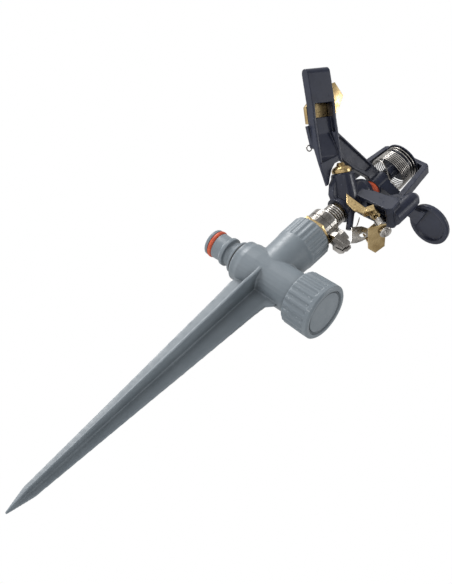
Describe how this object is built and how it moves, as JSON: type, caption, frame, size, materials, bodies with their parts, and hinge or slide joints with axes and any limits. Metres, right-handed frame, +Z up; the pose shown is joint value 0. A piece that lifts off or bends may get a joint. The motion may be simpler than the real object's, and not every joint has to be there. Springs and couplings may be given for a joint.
{
  "type": "impact sprinkler on a ground spike",
  "caption": "Lawn impact sprinkler: water-driven arm, part-circle trip and stop collars on a plastic ground spike with a quick-connect inlet and a screw end cap.",
  "frame": {"origin": "on the spike's axis at the ground line, where the fins meet the manifold", "axes": "+Z up along the head's turning axis, +X towards the screw end cap, -X towards the hose nipple"},
  "size_m": [0.1119, 0.0937, 0.3496],
  "materials": {
    "base_grey": "fine moulded grain",
    "head_black": "satin moulded",
    "brass": "satin",
    "steel": "satin",
    "orange_seal": "satin",
    "rubber": "matte"
  },
  "bodies": {
    "base": {"spike_body": "base_grey", "hose_nipple": "base_grey", "hose_oring": "orange_seal", "nipple_gasket": "rubber", "cap_gasket": "rubber", "bearing_nipple": "brass", "sleeve_washer": "rubber", "bearing_washer": "steel", "bearing_spring": "steel"},
    "cap": {"end_cap": "base_grey"},
    "collar_lower": {"friction_collar_lower": "steel"},
    "collar_upper": {"friction_collar_upper": "steel"},
    "head": {"head_body": "head_black", "nozzle_insert": "brass", "bearing_sleeve": "brass", "fulcrum_pin": "steel", "arm_washer": "orange_seal", "spring_retainer": "head_black", "arm_spring": "steel", "trip_bracket": "brass", "trip_pin": "steel", "trip_spring": "steel"},
    "arm": {"drive_arm": "head_black", "arm_weight": "brass", "weight_clip": "steel"},
    "trip": {"trip_lever": "brass", "trip_shoe": "steel"}
  },
  "joints": [
    {"name": "head_rotation", "type": "hinge", "parent": "base", "child": "head", "pos_m": [0, 0, 0.0985], "axis": [0, 0, 1], "continuous": true},
    {"name": "arm_swing", "type": "hinge", "parent": "head", "child": "arm", "pos_m": [0.002, 0.0043, 0.129], "axis": [0, 0, 1], "range_deg": [0, 55], "stiffness_Nm_per_rad": 0.02, "springref_deg": -22.92},
    {"name": "trip_flip", "type": "hinge", "parent": "head", "child": "trip", "pos_m": [0.0342, -0.0046, 0.0943], "axis": [0.89, 0, -0.456], "range_deg": [-8, 0], "stiffness_Nm_per_rad": 0.01, "springref_deg": 17.19},
    {"name": "lower_collar_turn", "type": "hinge", "parent": "base", "child": "collar_lower", "pos_m": [0, 0, 0.0727], "axis": [0, 0, 1], "continuous": true},
    {"name": "upper_collar_turn", "type": "hinge", "parent": "base", "child": "collar_upper", "pos_m": [0, 0, 0.078], "axis": [0, 0, 1], "continuous": true},
    {"name": "cap_unscrew", "type": "slide", "parent": "base", "child": "cap", "axis": [1, 0, 0], "range_m": [0, 0.03]}
  ]
}
